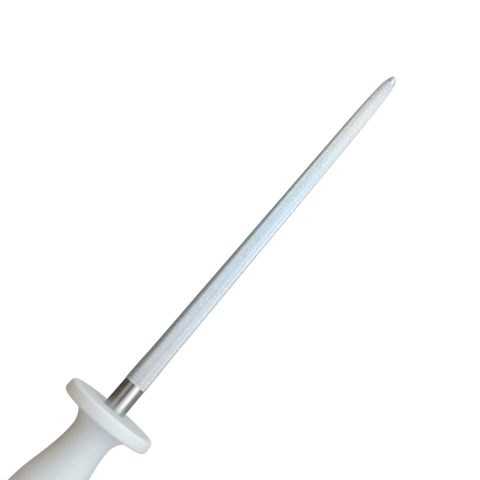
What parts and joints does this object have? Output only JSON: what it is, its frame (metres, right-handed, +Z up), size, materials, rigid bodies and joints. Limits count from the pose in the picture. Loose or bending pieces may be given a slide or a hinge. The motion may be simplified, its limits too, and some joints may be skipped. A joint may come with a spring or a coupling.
{
  "type": "knife sharpening steel",
  "caption": "Round diamond-coated sharpening rod with a bare polished shank and nose, a moulded handle with a disc guard, and a swivelling hanging ring at the butt.",
  "frame": {"origin": "centre of the guard's front face, on the axis of the rod", "axes": "+X along the rod towards its tip, +Z up; the hanging ring hangs towards -Z from the butt at -X"},
  "size_m": [0.4483, 0.0488, 0.0573],
  "materials": {
    "polished_steel": "polished hard chrome",
    "diamond_grit": "fine matt grit set in nickel",
    "white_plastic": "satin, slightly translucent",
    "core_plastic": "as moulded",
    "plated_steel": "bright nickel plate",
    "plain_steel": "turned",
    "nylon": "as moulded"
  },
  "bodies": {
    "handle": {"steel_rod": "polished_steel", "diamond_coating": "diamond_grit", "handle_grip": "white_plastic", "handle_core": "core_plastic", "tang_pin": "plain_steel", "butt_plug": "white_plastic", "thrust_washer": "plated_steel"},
    "swivel": {"swivel_eye": "plated_steel", "inner_washer": "plain_steel", "lock_nut": "plain_steel", "nut_insert": "nylon"},
    "ring": {"hanging_ring": "plated_steel"}
  },
  "joints": [
    {"name": "swivel_turn", "type": "hinge", "parent": "handle", "child": "swivel", "pos_m": [-0.138, 0, 0], "axis": [1, 0, 0], "continuous": true},
    {"name": "ring_swing", "type": "hinge", "parent": "swivel", "child": "ring", "pos_m": [-0.138, 0, 0], "axis": [0, 1, 0], "range_deg": [-50, 230]}
  ]
}
